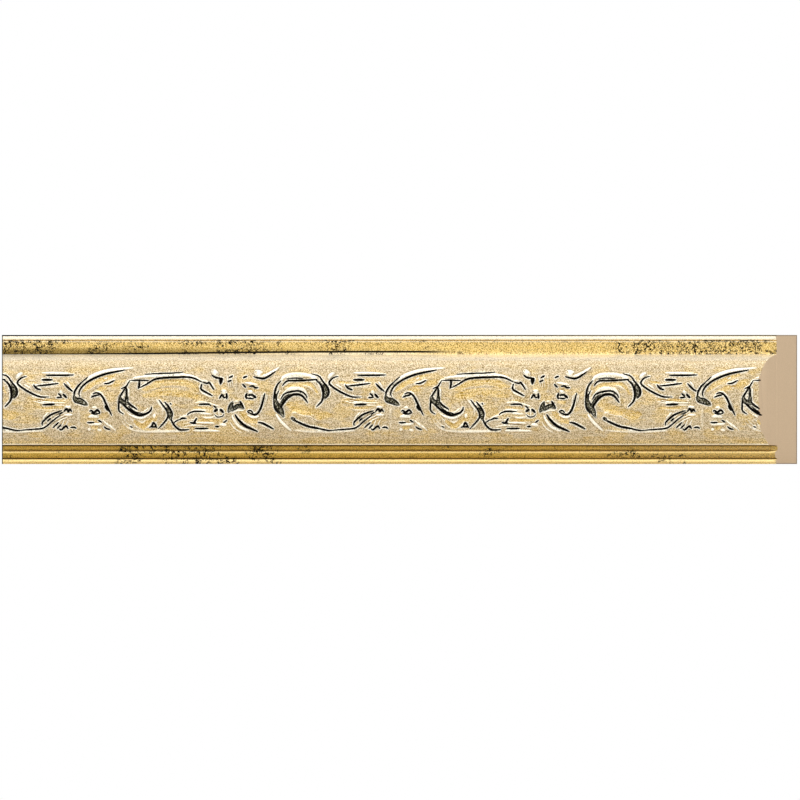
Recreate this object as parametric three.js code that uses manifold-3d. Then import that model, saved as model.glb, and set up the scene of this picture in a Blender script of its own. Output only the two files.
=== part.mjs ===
// One straight length of decorative wall moulding: a raised crown with an acanthus scroll
// running along it, and a plain stepped rim above and below. One end is cut square and the
// other is mitred for a corner.
// Millimetres, +Z up. X runs along the strip, the face looks along -Y and the back lies on y = 0.
import * as THREE from 'three';
import { mergeVertices } from 'three/addons/utils/BufferGeometryUtils.js';
import Module from 'manifold-3d';

// The strip
const FACE_HEIGHT = 61;
const BACK_LENGTH = 376;
const MITRE_ANGLE = Math.PI / 4;
const CROWN_DEPTH = 18.2;

// The rims
const TOP_RIM_HEIGHT = 9.2;
const BOTTOM_RIM_HEIGHT = 9;
const RIM_DEPTH = 10;
const FILLET_HEIGHT = 2.3;
const GROOVE_WIDTH = 0.5;
const GROOVE_DEPTH = 0.4;
const BEAD_HEIGHT = 3;
const BEAD_RISE = 0.4;
const RIM_EDGE_CHAMFER = 0.5;
const CROWN_STEP = 3.6;

// The crown's curve on each side of its middle line. The bulge is the share of the way out
// that stays nearly flat; the shoulder is how full the curve is near its edge
const UPPER_CURVE = { bulge: 0.73, shoulder: 0.62 };
const LOWER_CURVE = { bulge: 0.85, shoulder: 0.02 };
const SHOULDER_PLACE = 0.88;

// The ornament: its drawing is repeated along the crown, starting from the square end
const REPEAT_LENGTH = 147.4;
const LEAD_IN = 36.9;
const BAND_MARGIN = 5.6;
const DRAWN_LENGTH = 147.4;
const DRAWN_HALF_HEIGHT = 15.7;
const STEP_LENGTH = 3.2;
const SHORTEST_STEPS = 4;
const CROWN_DIVISIONS = 5;
const ROOT_SINK = 0.4;
const CUT_CLEARANCE = 1.6;
const STROKE_SIDES = 4;

// The solids are joined from corners that lie closer together than this
const MERGE_DISTANCE = 1e-4;

// Spare length at both ends of the plain strip, trimmed off square and to the mitre
const END_WASTE = CROWN_DEPTH;

const topEdge = FACE_HEIGHT / 2;
const bottomEdge = -FACE_HEIGHT / 2;
const crownTop = topEdge - TOP_RIM_HEIGHT;
const crownBottom = bottomEdge + BOTTOM_RIM_HEIGHT;
const crownEdgeDepth = RIM_DEPTH + CROWN_STEP;
const crownRise = CROWN_DEPTH - RIM_DEPTH;
const bandHalfHeight = Math.min(crownTop, -crownBottom) - BAND_MARGIN;
const squareEnd = -BACK_LENGTH / 2;
const mitreEnd = BACK_LENGTH / 2;

// A raised stroke of the ornament: a leaf rim, vein or stem through the given spots
function ridge(width, rise, ...spots) {
  return { width, rise, spots };
}

// A cut stroke of the ornament: a groove, drill hole or hollow through the given spots
function groove(width, depth, ...spots) {
  return { width, rise: -depth, spots };
}

// Spots are [along the repeat, height above the middle line] in the drawing's own steps
const HOOK_LEAF = [
  ridge(9, 0.8, [-1.4, -0.6], [3, 6.4], [11, 10.2], [26, 13]),
  ridge(3.2, 1.4, [-1.6, 0.4], [-2.2, 3.8], [0.4, 7.8], [6, 11.2], [13, 13.7], [24, 15]),
  ridge(2.4, 0.8, [8, 5.6], [14, 8.6], [22, 10.8]),
  groove(1.3, 1.1, [0.6, 0.6], [-0.3, 3.6], [2.6, 7.8], [8, 10.9], [21, 14.2]),
  groove(3.4, 1.7, [-3, 2.8], [-1.8, -0.2], [3.4, -2.3]),
];

const ARCH_LEAF = [
  ridge(6.4, 0.7, [2, -1.4], [8, 1.2], [13.4, -8.4]),
  ridge(2.4, 0.9, [3.4, 2.8], [8.4, 4], [12.6, 0.6], [15.2, -7.4]),
  groove(1.1, 0.9, [5.4, 2.4], [9.4, 2.4], [12, -2], [14.2, -7.4]),
];

const DROOPING_CALYX = [
  ridge(2.4, 0.9, [-0.5, -4.4], [-0.5, -13.6]),
  ridge(2.6, 0.9, [3.2, -8.8], [4.8, -14.4]),
  ridge(2.6, 0.9, [8.6, -8.4], [10, -14]),
  ridge(2.4, 0.8, [11.4, -10.4], [17, -14.6]),
  ridge(2.4, 0.9, [-7.6, -8.8], [-6.4, -14.4]),
  groove(2.6, 1.5, [4.2, -5.4], [9.4, -5.8]),
  groove(2.6, 1.5, [-8.6, -5.4], [-3.8, -5.4]),
];

const LEFT_SCROLL = [
  ridge(7, 0.8, [24, 8.4], [19.8, -1], [23.4, -10.8], [32, -12.8], [38.6, -6.4], [37.4, 1]),
  ridge(2.6, 1.2, [18.6, -5.6], [20.4, -11.4], [25, -14.6], [38, -15.2], [52, -15]),
  ridge(1.8, 1.1, [20.9, 0.4], [21.2, 4.4], [23.6, 9]),
  ridge(2.6, 1.1, [22.6, -7], [28.4, -9.4], [34, -6.6]),
  ridge(3.6, 0.9, [36, 0], [38.8, -5], [36.6, -10]),
  groove(1.2, 1.1, [22.8, 7.6], [21.9, 2], [24, -3.4], [29, -5]),
  groove(3, 1.7, [18.6, 1.6], [19.2, -2], [24, -3]),
  groove(1.8, 1.5, [21.8, -3.2], [25, -6.6], [29, -7.4], [34.2, -3.4]),
  groove(2.6, 1.6, [39.4, -1.6], [42.6, -6.4], [42.9, -11.4]),
  groove(1.2, 1, [43.8, -8], [45.4, -12.8], [50, -14.8]),
];

const STEM = [
  ridge(8, 0.8, [22, 8.2], [34, 9.2], [47, 9.4], [61, 5.4]),
  ridge(2.8, 1.4, [25.6, 10.6], [34, 11.2], [46, 11.7], [54, 10.8], [58.4, 8.2]),
  groove(1.4, 1.1, [27.8, 5.4], [36, 9.4], [46, 10.4], [54, 9.9], [58, 7.8]),
  groove(5.4, 0.7, [30, 4], [43, 6.6], [56, 4.4]),
];

const LEFT_SPRAY = [
  ridge(9, 0.6, [45.6, -11.6], [56, -8.4], [70, -5.4]),
  ridge(2.4, 1, [57.6, 4.6], [60.6, 8.8], [64, 4.4]),
  ridge(2.2, 1, [52.4, -2], [59, -1.3], [68.6, -4.8]),
  ridge(2.4, 0.9, [48.6, -8.4], [54, -6.7], [63.8, -8.2]),
  ridge(2.2, 0.9, [46.4, -12.6], [50.4, -10], [55.6, -9.4]),
  ridge(2.4, 0.9, [51.4, -12.2], [58.4, -11.6], [68.4, -12]),
  groove(2.4, 1.4, [63.6, -5.2], [68.2, -5.8]),
  groove(1, 0.9, [55.6, -2.7], [62.4, -3]),
  groove(1, 0.9, [54.6, -13.8], [61.4, -13.8]),
];

const RISING_CALYX = [
  ridge(3, 1.3, [63, 14], [64.6, 11.6], [67, 9.8]),
  ridge(2.4, 0.8, [73.8, 13], [73.8, 4.4]),
  ridge(2.6, 1.1, [67, 3.4], [69.2, 3.4]),
  ridge(2.6, 1.1, [79.2, 3.4], [81.8, 3.4]),
  ridge(2.2, 1, [77.4, 7.4], [83.4, 7]),
  ridge(3, 1.4, [83.4, 14], [85.4, 11.2], [94, 15.2]),
  groove(2.4, 1.4, [66, 1.2], [69.9, 1.2]),
  groove(2.4, 1.4, [78.1, 1.2], [83, 1.2]),
  groove(1.1, 1, [81.8, 10.6], [86.6, 9.7], [92.6, 13.3]),
  groove(1.1, 1, [87.3, 3], [86, -3.2], [83, -7.1], [80.6, -5.2]),
];

const LOW_LEAF = [
  ridge(8, 0.8, [70.6, -3.6], [76, -8.6], [84, -12.4], [98, -14]),
  ridge(2.8, 1.3, [70.2, -6.6], [72.8, -11], [76.6, -14], [84, -15.2]),
  ridge(2.2, 0.9, [79, -7.6], [83, -9], [90, -12], [99, -14.8]),
  groove(1.4, 1.2, [73.2, -7], [76.4, -11.2], [84, -15]),
  groove(3, 1.7, [70.8, -5.4], [72.4, -2.2], [77.4, -3.8]),
];

const RIGHT_SCROLL = [
  ridge(7, 0.8, [95.4, -8.6], [94, 2], [99.6, 8.4], [109, 7.8], [115, 0.8], [110, -6.4]),
  ridge(3, 1.4, [92.4, 2], [93.6, 8], [99, 11.6], [108, 11.4], [115.6, 7.8]),
  ridge(2.6, 1, [97, 4], [101.8, 6], [106.6, 3.6]),
  ridge(2.6, 1.2, [92.6, -6.6], [96, -12.6], [104, -15], [118, -15.2], [131, -14.8]),
  ridge(2.4, 0.9, [97.6, -8.4], [102, -6.6], [112, -10.6]),
  groove(2.8, 1.7, [92.6, 3.4], [93.4, -3.2], [96.3, -9.6]),
  groove(1.3, 1.1, [95, 5.8], [99, 9.1], [109, 9], [114.3, 5.4], [114.2, -0.6], [110, -5]),
  groove(2.2, 1.6, [115.2, 8], [116.7, 4.2], [115.8, -0.4]),
  groove(3, 1.6, [95.8, -0.2], [99.6, 3.4], [104.6, 3.3], [107.9, -1.4]),
  groove(2, 1.2, [100.6, -9.9], [107, -12], [117, -14.2]),
];

const RIGHT_SPRAY = [
  ridge(9, 0.6, [118.6, 8], [130, 6.6], [146, 5]),
  ridge(2.4, 0.9, [117.4, 9], [120.4, 11.8], [126.4, 10.6]),
  ridge(2.2, 1.1, [129, 11.4], [137, 12.5], [146.4, 12.3]),
  ridge(2.2, 0.8, [127.6, 5.4], [134, 5.6], [141, 6.4]),
  ridge(2.2, 0.9, [125.4, -1.6], [131, -1.2], [141, -0.4]),
  ridge(2.4, 1, [129, -10], [132, -7], [138.6, -5]),
  groove(1.1, 0.9, [125, 10.2], [120.8, 10.6], [118.2, 8.2], [124, 3.4], [133.4, 1]),
  groove(1.1, 0.9, [125.8, 6.8], [128, 6.2], [137, 7.3]),
  groove(1.1, 0.9, [130.2, -10.4], [132.2, -8.3], [136.6, -6.3]),
  groove(2, 1.3, [136.8, 1.8], [141.4, 1.2]),
];

const ORNAMENT = [
  ...HOOK_LEAF, ...ARCH_LEAF, ...DROOPING_CALYX, ...LEFT_SCROLL, ...STEM, ...LEFT_SPRAY,
  ...RISING_CALYX, ...LOW_LEAF, ...RIGHT_SCROLL, ...RIGHT_SPRAY,
];

// Half of the crown's section, from the middle line to the edge at the given height
function crownHalf(edgeHeight, edgeDepth, { bulge, shoulder }) {
  const middle = new THREE.Vector2(CROWN_DEPTH, 0);
  const nearMiddle = new THREE.Vector2(CROWN_DEPTH, edgeHeight * bulge);
  const shoulderDepth = edgeDepth + crownRise * shoulder;
  const nearEdge = new THREE.Vector2(shoulderDepth, edgeHeight * SHOULDER_PLACE);
  const edge = new THREE.Vector2(edgeDepth, edgeHeight);
  return new THREE.CubicBezierCurve(middle, nearMiddle, nearEdge, edge).getPoints(CROWN_DIVISIONS);
}

// Section points are (depth from the back, height), from the crown's top edge to its bottom
const upperCrown = crownHalf(crownTop, RIM_DEPTH, UPPER_CURVE);
const lowerCrown = crownHalf(crownBottom, crownEdgeDepth, LOWER_CURVE);
const crownSection = [...upperCrown.reverse(), ...lowerCrown.slice(1)];

// Depth of the plain crown at a height, along the straight facets of its section
function crownDepthAt(height) {
  const below = crownSection.findIndex((point) => point.y <= height);
  if (below === 0) return crownSection[0].x;
  if (below < 0) return crownSection.at(-1).x;
  const upper = crownSection[below - 1];
  const lower = crownSection[below];
  return THREE.MathUtils.mapLinear(height, upper.y, lower.y, upper.x, lower.x);
}

// The whole section: back, top rim, crown, bottom rim with its cove and bead
function stripSection() {
  const section = new THREE.Shape();
  section.moveTo(0, bottomEdge);
  section.lineTo(0, topEdge);
  section.lineTo(RIM_DEPTH - RIM_EDGE_CHAMFER, topEdge);
  section.lineTo(RIM_DEPTH, topEdge - RIM_EDGE_CHAMFER);
  section.lineTo(RIM_DEPTH, topEdge - FILLET_HEIGHT);
  section.lineTo(RIM_DEPTH - GROOVE_DEPTH, topEdge - FILLET_HEIGHT - GROOVE_WIDTH / 2);
  section.lineTo(RIM_DEPTH, topEdge - FILLET_HEIGHT - GROOVE_WIDTH);
  crownSection.forEach((point) => section.lineTo(point.x, point.y));
  const beadBottom = bottomEdge + FILLET_HEIGHT + GROOVE_WIDTH;
  const beadTop = beadBottom + BEAD_HEIGHT;
  section.lineTo(RIM_DEPTH, crownBottom - RIM_EDGE_CHAMFER);
  section.lineTo(RIM_DEPTH - GROOVE_DEPTH, (crownBottom + beadTop) / 2);
  section.lineTo(RIM_DEPTH, beadTop);
  section.lineTo(RIM_DEPTH + BEAD_RISE, beadTop - BEAD_HEIGHT / 4);
  section.lineTo(RIM_DEPTH + BEAD_RISE, beadBottom + BEAD_HEIGHT / 4);
  section.lineTo(RIM_DEPTH, beadBottom);
  section.lineTo(RIM_DEPTH - GROOVE_DEPTH, beadBottom - GROOVE_WIDTH / 2);
  section.lineTo(RIM_DEPTH, bottomEdge + FILLET_HEIGHT);
  section.lineTo(RIM_DEPTH, bottomEdge + RIM_EDGE_CHAMFER);
  section.lineTo(RIM_DEPTH - RIM_EDGE_CHAMFER, bottomEdge);
  return section;
}

// The plain strip, before its ends are trimmed
const sectionToStrip = new THREE.Matrix4().makeBasis(
  new THREE.Vector3(0, -1, 0),
  new THREE.Vector3(0, 0, 1),
  new THREE.Vector3(-1, 0, 0),
);

function plainStrip() {
  const options = { depth: BACK_LENGTH + 2 * END_WASTE, bevelEnabled: false };
  const strip = new THREE.ExtrudeGeometry(stripSection(), options);
  strip.applyMatrix4(sectionToStrip);
  strip.translate(mitreEnd + END_WASTE, 0, 0);
  return strip;
}

// One stroke: a four-sided spindle bent along its spots and draped over the crown
function strokeGeometry({ width, rise, spots }, repeatStart) {
  const across = REPEAT_LENGTH / DRAWN_LENGTH;
  const up = bandHalfHeight / DRAWN_HALF_HEIGHT;
  const path = new THREE.CatmullRomCurve3(
    spots.map(([x, z]) => new THREE.Vector3(repeatStart + x * across, 0, z * up)),
    false,
    'centripetal',
  );
  const stepLength = STEP_LENGTH + width / 3;
  const steps = Math.max(SHORTEST_STEPS, Math.round(path.getLength() / stepLength) + 1);
  const spindle = new THREE.SphereGeometry(1, STROKE_SIDES, steps);
  const raised = Math.sign(rise);
  const position = spindle.attributes.position;
  for (let i = 0; i < position.count; i += 1) {
    const along = 1 - Math.acos(THREE.MathUtils.clamp(position.getY(i), -1, 1)) / Math.PI;
    const roundness = Math.hypot(position.getX(i), position.getZ(i));
    const fullness = Math.sqrt(roundness);
    const onTip = roundness < Number.EPSILON;
    const side = onTip ? 0 : position.getX(i) / roundness;
    const front = onTip ? 0 : position.getZ(i) / roundness;
    const spot = path.getPointAt(along);
    const heading = path.getTangentAt(along);
    const x = spot.x + heading.z * side * fullness * width / 2;
    const z = spot.z - heading.x * side * fullness * width / 2;
    const reach = front > 0 ? Math.abs(rise) + ROOT_SINK : CUT_CLEARANCE;
    const lift = raised * (front * fullness * reach - ROOT_SINK);
    position.setXYZ(i, x, -(crownDepthAt(z) + lift), z);
  }
  return spindle;
}

// Joining and cutting
const wasm = await Module();
wasm.setup();

function solidFrom(geometry) {
  const bare = geometry.clone();
  bare.deleteAttribute('normal');
  bare.deleteAttribute('uv');
  const merged = mergeVertices(bare.index ? bare.toNonIndexed() : bare, MERGE_DISTANCE);
  const corners = merged.attributes.position.array;
  const faces = [];
  for (let i = 0; i < merged.index.count; i += 3) {
    const [a, b, c] = [0, 1, 2].map((k) => merged.index.getX(i + k));
    if (a !== b && b !== c && c !== a) faces.push(a, b, c);
  }
  const mesh = new wasm.Mesh({
    numProp: 3,
    vertProperties: Float32Array.from(corners),
    triVerts: Uint32Array.from(faces),
  });
  const solid = new wasm.Manifold(mesh);
  if (solid.volume() >= 0) return solid;
  mesh.triVerts = Uint32Array.from(faces).reverse();
  return new wasm.Manifold(mesh);
}

// The waste beyond each end: square on the left, along the mitre on the right
function squareWaste() {
  const block = new THREE.BoxGeometry(2 * END_WASTE, 4 * END_WASTE, 2 * FACE_HEIGHT);
  block.translate(squareEnd - END_WASTE, 0, 0);
  return block;
}

function mitreWaste() {
  const reach = 2 * END_WASTE;
  const set = reach * Math.tan(MITRE_ANGLE);
  const outline = new THREE.Shape();
  outline.moveTo(mitreEnd + set, reach);
  outline.lineTo(mitreEnd - set, -reach);
  outline.lineTo(mitreEnd + set + reach, -reach);
  outline.lineTo(mitreEnd + set + reach, reach);
  const block = new THREE.ExtrudeGeometry(outline, { depth: 2 * FACE_HEIGHT, bevelEnabled: false });
  block.translate(0, 0, -FACE_HEIGHT);
  return block;
}

function mouldingGeometry() {
  const firstRepeat = squareEnd + LEAD_IN - REPEAT_LENGTH;
  const repeats = Math.ceil((mitreEnd - firstRepeat) / REPEAT_LENGTH);
  const strokes = [];
  for (let repeat = 0; repeat < repeats; repeat += 1) {
    const start = firstRepeat + repeat * REPEAT_LENGTH;
    ORNAMENT.forEach((stroke) => {
      const geometry = strokeGeometry(stroke, start);
      geometry.computeBoundingBox();
      const { min, max } = geometry.boundingBox;
      if (max.x > squareEnd && min.x < mitreEnd - RIM_DEPTH) {
        strokes.push({ raised: stroke.rise > 0, solid: solidFrom(geometry) });
      }
    });
  }
  let solid = solidFrom(plainStrip());
  strokes.filter((stroke) => stroke.raised).forEach((stroke) => {
    solid = solid.add(stroke.solid);
  });
  strokes.filter((stroke) => !stroke.raised).forEach((stroke) => {
    solid = solid.subtract(stroke.solid);
  });
  solid = solid.subtract(solidFrom(squareWaste())).subtract(solidFrom(mitreWaste()));
  const mesh = solid.getMesh();
  const geometry = new THREE.BufferGeometry();
  geometry.setAttribute('position', new THREE.Float32BufferAttribute(mesh.vertProperties, 3));
  geometry.setIndex(new THREE.Uint32BufferAttribute(mesh.triVerts, 1));
  geometry.computeVertexNormals();
  return geometry;
}

const giltFinish = new THREE.MeshStandardMaterial({
  color: 0xdcc593,
  roughness: 0.34,
  metalness: 0.6,
});

const moulding = new THREE.Mesh(mouldingGeometry(), giltFinish);
moulding.name = 'moulding';

const group = new THREE.Group();
group.add(moulding);

export default group;
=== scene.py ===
"""A gilded wall moulding with a running acanthus scroll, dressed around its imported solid."""

import math
from types import SimpleNamespace
from typing import NamedTuple

import bmesh
import bpy
import numpy as np
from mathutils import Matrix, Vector


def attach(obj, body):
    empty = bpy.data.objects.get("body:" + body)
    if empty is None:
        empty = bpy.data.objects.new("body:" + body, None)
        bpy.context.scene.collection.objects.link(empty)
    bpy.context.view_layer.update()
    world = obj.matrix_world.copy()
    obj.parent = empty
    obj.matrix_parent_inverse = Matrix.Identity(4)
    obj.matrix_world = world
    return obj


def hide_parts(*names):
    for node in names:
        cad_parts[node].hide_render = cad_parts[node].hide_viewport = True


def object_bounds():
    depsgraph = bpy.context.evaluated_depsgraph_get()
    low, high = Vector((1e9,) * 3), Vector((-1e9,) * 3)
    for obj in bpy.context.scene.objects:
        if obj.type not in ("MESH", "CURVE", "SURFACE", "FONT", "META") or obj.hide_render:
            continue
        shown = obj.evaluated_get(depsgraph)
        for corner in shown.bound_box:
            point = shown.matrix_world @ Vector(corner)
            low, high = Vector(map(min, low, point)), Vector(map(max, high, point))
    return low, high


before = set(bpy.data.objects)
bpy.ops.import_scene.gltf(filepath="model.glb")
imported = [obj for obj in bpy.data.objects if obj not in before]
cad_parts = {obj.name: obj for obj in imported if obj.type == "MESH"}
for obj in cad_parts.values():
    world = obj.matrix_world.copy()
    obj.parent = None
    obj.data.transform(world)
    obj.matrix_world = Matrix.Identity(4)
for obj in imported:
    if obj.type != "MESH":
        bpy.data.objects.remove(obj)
CAD_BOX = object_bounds()

bl_info = {
    "name": "Gilded Scroll Moulding",
    "version": (1, 0, 0),
    "blender": (4, 5, 0),
    "location": "3D View > Sidebar > Moulding",
    "description": "Builds a gilded moulding strip with a running acanthus scroll",
    "category": "Add Mesh",
}

MM = 0.001

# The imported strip, in millimetres
LOW = CAD_BOX[0] / MM
HIGH = CAD_BOX[1] / MM
SQUARE_END = LOW.x
MITRE_END = HIGH.x
TOP_EDGE = HIGH.z
BOTTOM_EDGE = LOW.z

# The photograph's frame: 800 pixels square, with the strip's 61 mm over 129 of them
PICTURE_PIXELS = 800
STRIP_PIXELS = 129
HALF_PIXEL_OFF_CENTRE = 0.5


# The ornament. Each stroke runs through [along the repeat, height above the middle] spots
# in millimetres, and swells in the middle to its width and rise
def ridge(width, rise, *spots):
    """A raised leaf rim, vein or stem."""
    return {"kind": "ridge", "width": width, "rise": rise, "spots": spots}


def groove(width, depth, *spots):
    """A cut line, drill hole or deep pocket that holds dark patina with painted shade."""
    return {"kind": "groove", "width": width, "rise": depth, "spots": spots}


def dish(width, depth, *spots):
    """A broad shallow hollow with painted ochre shade."""
    return {"kind": "dish", "width": width, "rise": depth, "spots": spots}


def veins(count, across, width, rise, *spots):
    """Fine parallel ribs, each moved across from the one before."""
    return [
        ridge(width, rise, *((x + k * across[0], z + k * across[1]) for x, z in spots))
        for k in range(count)
    ]


HOOK_LEAF = [
    ridge(8.5, 0.55, (-1.4, -0.4), (3, 6.6), (11, 10.4), (26, 13.2)),
    ridge(2.7, 1.4, (-1.3, 1), (-1.6, 3.4), (0.5, 6.9), (4.6, 10.4),
          (10, 12.8), (16.8, 14.2), (25.6, 15)),
    dish(4, 0.7, (1.6, 4), (8, 9), (17.5, 12.2)),
    ridge(1.2, 0.8, (11.8, 6.8), (14.4, 7.1), (16.8, 8.2)),
    ridge(1.1, 0.6, (11.2, 9.6), (13.4, 10.4)),
    *veins(3, (0.9, -1.3), 1, 0.4, (6.4, 7.2), (12.4, 9.4), (19.6, 12)),
    dish(3.4, 0.6, (7.5, 3.9), (14, 6.4), (21.4, 9.4)),
    groove(1.15, 1.2, (0, 1.3), (-0.4, 3.2), (1.2, 6.2), (5.1, 9.2), (11.9, 12), (21.6, 14)),
    groove(1.1, 1, (-2.8, 1), (-2.6, 3.2), (-1.8, 4.9), (-0.6, 6.6), (1.2, 8.3)),
    groove(0.6, 0.6, (0.8, 8), (2.6, 9.6), (4, 10.8)),
    groove(3.4, 1.8, (-3, 2), (-1.9, -0.2), (0.2, -0.8), (3.8, -2.7)),
    groove(0.95, 0.9, (11.4, 7.5), (13.6, 7.7), (16.4, 9.1)),
]

ARCH_LEAF = [
    ridge(5.6, 0.5, (2, -1), (8, 0.4), (13, -8)),
    ridge(1.2, 0.8, (6.4, 4.1), (9.8, 3.3), (12.6, -0.6), (15.2, -7.4)),
    groove(1.1, 1.1, (5.9, 2.6), (8.3, 3.1), (10.6, 1.4), (12.4, -2.2), (15.1, -7.6)),
    groove(0.95, 0.9, (5.2, 1), (6.8, 1.7), (9, 2.1)),
    groove(1.35, 1.2, (11.9, -3), (13.3, -5.2)),
]

DROOPING_CALYX = [
    ridge(3, 0.55, (-0.5, -4), (-0.5, -13.6)),
    ridge(2.2, 1.1, (3.8, -8.2), (6.4, -7.9), (9.2, -8.3)),
    ridge(1.5, 0.6, (5.6, -3.8), (8.4, -3.7)),
    ridge(1.7, 0.9, (-7.4, -3.5), (-4, -3.6)),
    ridge(1.8, 0.9, (-8, -7.3), (-3.4, -7.2)),
    ridge(1.7, 0.8, (4, -11.9), (7, -11.8), (10.2, -11.6)),
    ridge(1.6, 0.5, (3.8, -14.4), (5, -14)),
    ridge(1.6, 0.5, (8.2, -14.3), (10.4, -14.7)),
    *veins(3, (1.5, -0.9), 0.9, 0.7, (10.6, -9.6), (14.2, -13.2)),
    *veins(3, (-1.7, 0.6), 0.9, 0.65, (-5.4, -9.6), (-7.2, -14)),
    dish(2.6, 0.5, (5.6, -13.2), (8.2, -13)),
    groove(1.15, 1.2, (4.6, -5.7), (5.4, -5.2), (6.6, -6.1), (8.2, -5), (9.3, -6), (9, -6.8)),
    groove(0.9, 0.9, (5.1, -6.3), (7, -6.9), (9, -6.7)),
    groove(1.15, 1.2, (-7.6, -5.8), (-6.4, -4.4), (-5.5, -5.6), (-4.7, -4.7), (-3.8, -5.8)),
    groove(0.8, 0.8, (-9.8, -7), (-8, -6)),
    groove(1, 1, (-10.2, 2.8), (-8.7, 1.5)),
    groove(1.35, 1.2, (-7.9, 2.5), (-6.3, 0.8)),
    groove(0.8, 0.8, (-11, 1), (-9.4, 0.9)),
    ridge(2, 1.2, (-9.8, 4.1), (-8, 3)),
    groove(0.95, 0.9, (3.4, -11), (6.8, -10.9)),
    groove(1, 0.9, (8.7, -9.8), (10.4, -10.8)),
    groove(1, 0.9, (11.4, -12.8), (12.6, -13.7), (14.4, -14.2)),
    groove(1.1, 1, (-9.7, -13.8), (-8.7, -14.3), (-6.6, -12.6), (-5.5, -13.9)),
    groove(1, 0.9, (-4.4, -13.3), (-2.8, -13.1), (-1.6, -13.7)),
]

LEFT_SCROLL = [
    ridge(6.4, 0.55, (24, 8.6), (20, -1), (23.4, -10.4), (32, -12.4), (38.6, -6), (37, 1.4)),
    ridge(2.3, 0.7, (18.8, -7), (20.6, -11), (24.4, -14), (32, -15), (52, -15)),
    *veins(3, (1, 0.9), 1.1, 0.7, (19.6, -7), (22.4, -11.2), (26.4, -13.6)),
    ridge(1.4, 1, (20.2, 0.6), (20.9, 3.2), (21.4, 4.8)),
    ridge(1.2, 0.8, (23.2, 5.6), (23.1, 0.8)),
    ridge(1.5, 0.8, (20.4, -4.2), (24.2, -7.6), (29.4, -8.8), (34.4, -6)),
    ridge(1, 0.8, (26.6, -5.8), (29.6, -6), (32.6, -4)),
    ridge(2.6, 0.7, (35.8, 0.4), (39, -4.4), (38.4, -9.4)),
    ridge(2.2, 0.9, (35, -6.6), (36, -10.4)),
    ridge(1.2, 0.9, (39.4, -1.8), (41.7, -4.9)),
    ridge(1.3, 0.8, (42.2, -9.2), (38.4, -13.8)),
    dish(3.2, 0.9, (25.4, -10), (29.7, -12.4), (34.6, -8.8)),
    dish(2.6, 0.6, (36.4, -8), (34, -11.4)),
    groove(1, 1, (23.7, 9.1), (22.4, 6.9), (20.6, 4), (18.9, 1),
           (18.4, -3), (18.6, -5.4), (20.8, -7)),
    groove(0.7, 0.7, (19.4, 5), (20.6, 5.6), (22.4, 6.6)),
    groove(1.3, 1.3, (22.1, 5.6), (22.1, 2.6), (22.1, -0.3), (23.4, -2.2), (27.2, -4.8)),
    groove(2.6, 1.9, (18.7, 1.8), (19.7, -0.8), (23.4, -2.4)),
    groove(2, 1.7, (22.1, 2), (22.2, -1.6)),
    groove(1.35, 1.5, (19.4, -1.4), (23.4, -5), (26.6, -7), (29, -7.4),
           (32, -6.4), (33.6, -5), (33.9, -3.4)),
    groove(0.75, 0.8, (22.8, -3.2), (26, -5.8), (29.4, -6.6)),
    groove(0.7, 0.7, (23.6, -12.6), (25, -13.3)),
    groove(1, 1, (32.8, -13.2), (34, -12.6), (34.9, -11), (36.5, -13.4)),
    groove(0.9, 0.9, (33.6, -12.9), (36.2, -13)),
    groove(2.7, 1.8, (41, -3.9), (42.6, -6.8), (42.9, -9.8)),
    groove(1, 1.1, (37.3, -0.1), (39, -2.4), (40.8, -4.8), (41.7, -7.6), (40.6, -10), (37, -13.9)),
    groove(1.05, 1.2, (39.9, -1), (42, -3.4), (43.6, -6.4), (43.7, -8.2)),
    groove(1.1, 1.2, (43, -8.6), (43.6, -10.4), (45, -12.6), (47.4, -14.3), (51.8, -14.2)),
    groove(0.8, 0.8, (42.7, -1.7), (43.2, -2.4)),
]

STEM = [
    ridge(7.2, 0.5, (22, 8.4), (34, 9.4), (47, 9.6), (61, 5.6)),
    ridge(2.7, 1.4, (24.4, 10.3), (34, 11.1), (45, 11.6), (52.4, 11.2), (58, 8.9)),
    dish(4.4, 0.8, (29.6, 5), (37, 8), (46, 8.7), (56, 6)),
    dish(4, 0.35, (30, 1.6), (42, 3.6), (56, 1.4)),
    *veins(3, (0.6, -1.5), 0.9, 0.16, (30.5, 5), (38, 7.4), (48, 7.6), (56, 5)),
    groove(0.8, 0.7, (30.6, 11.9), (38, 12.3), (46.4, 12.6), (49, 13)),
    groove(1.15, 1.1, (28.2, 5.5), (31.8, 7.4), (36.4, 9.8), (45, 10.5), (52.6, 10.4), (58, 8.1)),
    groove(1.15, 1.1, (28.1, 9), (28.1, 7), (27.6, 5.1)),
    groove(0.85, 0.8, (23.7, 9.1), (28, 9.1), (32.8, 9)),
]

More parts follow.
